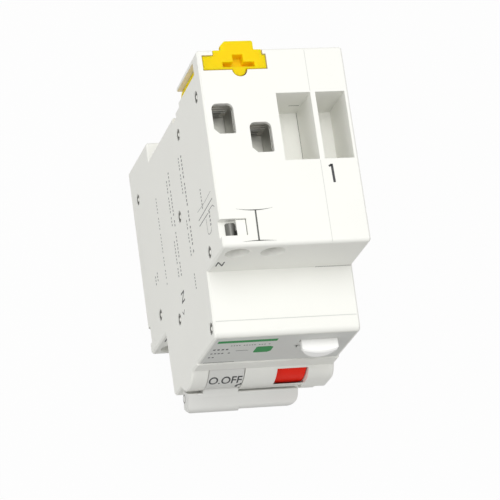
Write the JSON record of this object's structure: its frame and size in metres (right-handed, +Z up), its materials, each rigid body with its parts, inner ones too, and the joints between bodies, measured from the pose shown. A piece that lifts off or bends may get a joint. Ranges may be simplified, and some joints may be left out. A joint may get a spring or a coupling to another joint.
{
  "type": "residual current device",
  "caption": "Two-module rail-mounted residual current breaker with a toggle, flag window, test button, end terminals and a sprung rail clip.",
  "frame": {"origin": "middle of the rail seat plane, half way across the width and up the rail gap", "axes": "+Y towards the rail behind the device, so the toggle faces -Y; +Z up towards the end with the rail clip; +X to the right seen from the front"},
  "size_m": [0.036, 0.0755, 0.0796],
  "materials": {
    "housing_plastic": "fine moulded texture",
    "clip_plastic": "smooth moulded",
    "toggle_plastic": "fine moulded texture",
    "button_plastic": "smooth moulded",
    "flag_red": "smooth moulded",
    "flag_green": "smooth moulded",
    "inner_plastic": "plain moulded",
    "steel": "zinc plated",
    "spring_steel": "drawn wire",
    "copper": "rolled",
    "brass": "stamped",
    "silver": "silver alloy",
    "bimetal": "rolled",
    "fibre": "pressed fibre board",
    "core_alloy": "wound strip core",
    "enamelled_copper": "enamelled wire",
    "relay_plastic": "plain moulded",
    "board": "solder mask",
    "component": "dipped coating",
    "resistor": "lacquered",
    "lead_insulation": "cable insulation"
  },
  "bodies": {
    "case": {"base_housing": "housing_plastic", "right_cover": "housing_plastic", "centre_partition": "inner_plastic", "rivets": "steel", "probe_contacts": "steel", "toggle_pin": "steel", "toggle_spring": "spring_steel", "carrier_pin": "steel", "fixed_tips": "silver", "coil_yoke": "steel", "coil_winding": "enamelled_copper", "bimetal": "bimetal", "bimetal_bracket": "steel", "braid": "copper", "arc_plates": "steel", "arc_frame": "fibre", "neutral_top_strip": "copper", "neutral_bottom_strip": "copper", "phase_top_strip": "copper", "phase_contact_strip": "copper", "phase_bottom_strip": "copper", "toroid_core": "core_alloy", "toroid_winding": "enamelled_copper", "pole_leads": "lead_insulation", "trip_relay": "relay_plastic", "circuit_board": "board", "board_components": "component", "test_resistor": "resistor", "test_button_spring": "spring_steel", "test_contact": "brass"},
    "toggle_body": {"toggle": "toggle_plastic"},
    "flag_body": {"flag_carrier": "inner_plastic", "flag_red": "flag_red", "flag_green": "flag_green"},
    "contact_body": {"contact_carrier": "relay_plastic", "moving_contact_l": "copper", "moving_contact_n": "copper", "moving_tips": "silver"},
    "link_body": {"link_wire": "spring_steel"},
    "trip_bar_body": {"trip_bar": "relay_plastic"},
    "plunger_body": {"coil_plunger": "steel"},
    "relay_pin_body": {"relay_pin": "steel"},
    "button_body": {"test_button": "button_plastic"},
    "clip_body": {"din_clip": "clip_plastic"},
    "screw_n_top_body": {"terminal_screw_n_top": "steel"},
    "cage_n_top_body": {"terminal_cage_n_top": "steel"},
    "screw_l_top_body": {"terminal_screw_l_top": "steel"},
    "cage_l_top_body": {"terminal_cage_l_top": "steel"},
    "screw_n_bottom_body": {"terminal_screw_n_bottom": "steel"},
    "cage_n_bottom_body": {"terminal_cage_n_bottom": "steel"},
    "screw_l_bottom_body": {"terminal_screw_l_bottom": "steel"},
    "cage_l_bottom_body": {"terminal_cage_l_bottom": "steel"}
  },
  "joints": [
    {"name": "toggle_hinge", "type": "hinge", "parent": "case", "child": "toggle_body", "pos_m": [0, -0.05385, -0.00867], "axis": [-1, 0, 0], "range_deg": [0, 52]},
    {"name": "flag_hinge", "type": "hinge", "parent": "case", "child": "flag_body", "pos_m": [0, -0.05385, -0.00867], "axis": [-1, 0, 0], "range_deg": [0, 78.01]},
    {"name": "contact_hinge", "type": "hinge", "parent": "case", "child": "contact_body", "pos_m": [0, -0.03, -0.014], "axis": [-1, 0, 0], "range_deg": [0, 23.04]},
    {"name": "link_hinge", "type": "hinge", "parent": "toggle_body", "child": "link_body", "pos_m": [-0.01105, -0.05565, -0.00498], "axis": [-1, 0, 0], "range_deg": [-52, 0]},
    {"name": "trip_bar_hinge", "type": "hinge", "parent": "case", "child": "trip_bar_body", "pos_m": [0, -0.043, -0.011], "axis": [-1, 0, 0], "range_deg": [0, 10], "stiffness_Nm_per_rad": 0.002},
    {"name": "plunger_slide", "type": "slide", "parent": "case", "child": "plunger_body", "axis": [0, 0, -1], "range_m": [0, 0.001], "stiffness_N_per_m": 150},
    {"name": "relay_pin_slide", "type": "slide", "parent": "case", "child": "relay_pin_body", "axis": [0, 0, -1], "range_m": [0, 0.001], "stiffness_N_per_m": 100},
    {"name": "test_button_slide", "type": "slide", "parent": "case", "child": "button_body", "axis": [0, 1, 0], "range_m": [0, 0.0016], "stiffness_N_per_m": 300, "deforming": ["test_button_spring"]},
    {"name": "clip_slide", "type": "slide", "parent": "case", "child": "clip_body", "axis": [0, 0, 1], "range_m": [0, 0.003], "stiffness_N_per_m": 1500},
    {"name": "screw_n_top_turn", "type": "hinge", "parent": "case", "child": "screw_n_top_body", "pos_m": [-0.0136, -0.03, 0.0352], "axis": [0, 1, 0], "range_deg": [0, 1575.01]},
    {"name": "cage_n_top_slide", "type": "slide", "parent": "case", "child": "cage_n_top_body", "axis": [0, -1, 0], "range_m": [0, 0.0035]},
    {"name": "screw_l_top_turn", "type": "hinge", "parent": "case", "child": "screw_l_top_body", "pos_m": [-0.00495, -0.03, 0.0352], "axis": [0, 1, 0], "range_deg": [0, 1575.01]},
    {"name": "cage_l_top_slide", "type": "slide", "parent": "case", "child": "cage_l_top_body", "axis": [0, -1, 0], "range_m": [0, 0.0035]},
    {"name": "screw_n_bottom_turn", "type": "hinge", "parent": "case", "child": "screw_n_bottom_body", "pos_m": [-0.0136, -0.03, -0.0352], "axis": [0, 1, 0], "range_deg": [0, 1575.01]},
    {"name": "cage_n_bottom_slide", "type": "slide", "parent": "case", "child": "cage_n_bottom_body", "axis": [0, -1, 0], "range_m": [0, 0.0035]},
    {"name": "screw_l_bottom_turn", "type": "hinge", "parent": "case", "child": "screw_l_bottom_body", "pos_m": [-0.00495, -0.03, -0.0352], "axis": [0, 1, 0], "range_deg": [0, 1575.01]},
    {"name": "cage_l_bottom_slide", "type": "slide", "parent": "case", "child": "cage_l_bottom_body", "axis": [0, -1, 0], "range_m": [0, 0.0035]}
  ],
  "couplings": [
    {"joint": "flag_hinge", "follows": "toggle_hinge", "ratio": 1.5},
    {"joint": "contact_hinge", "follows": "toggle_hinge", "ratio": 0.44306},
    {"joint": "link_hinge", "follows": "toggle_hinge", "ratio": -1.0001},
    {"joint": "screw_n_top_turn", "follows": "cage_n_top_slide", "rad_per_m": 7854},
    {"joint": "screw_l_top_turn", "follows": "cage_l_top_slide", "rad_per_m": 7854},
    {"joint": "screw_n_bottom_turn", "follows": "cage_n_bottom_slide", "rad_per_m": 7854},
    {"joint": "screw_l_bottom_turn", "follows": "cage_l_bottom_slide", "rad_per_m": 7854}
  ]
}
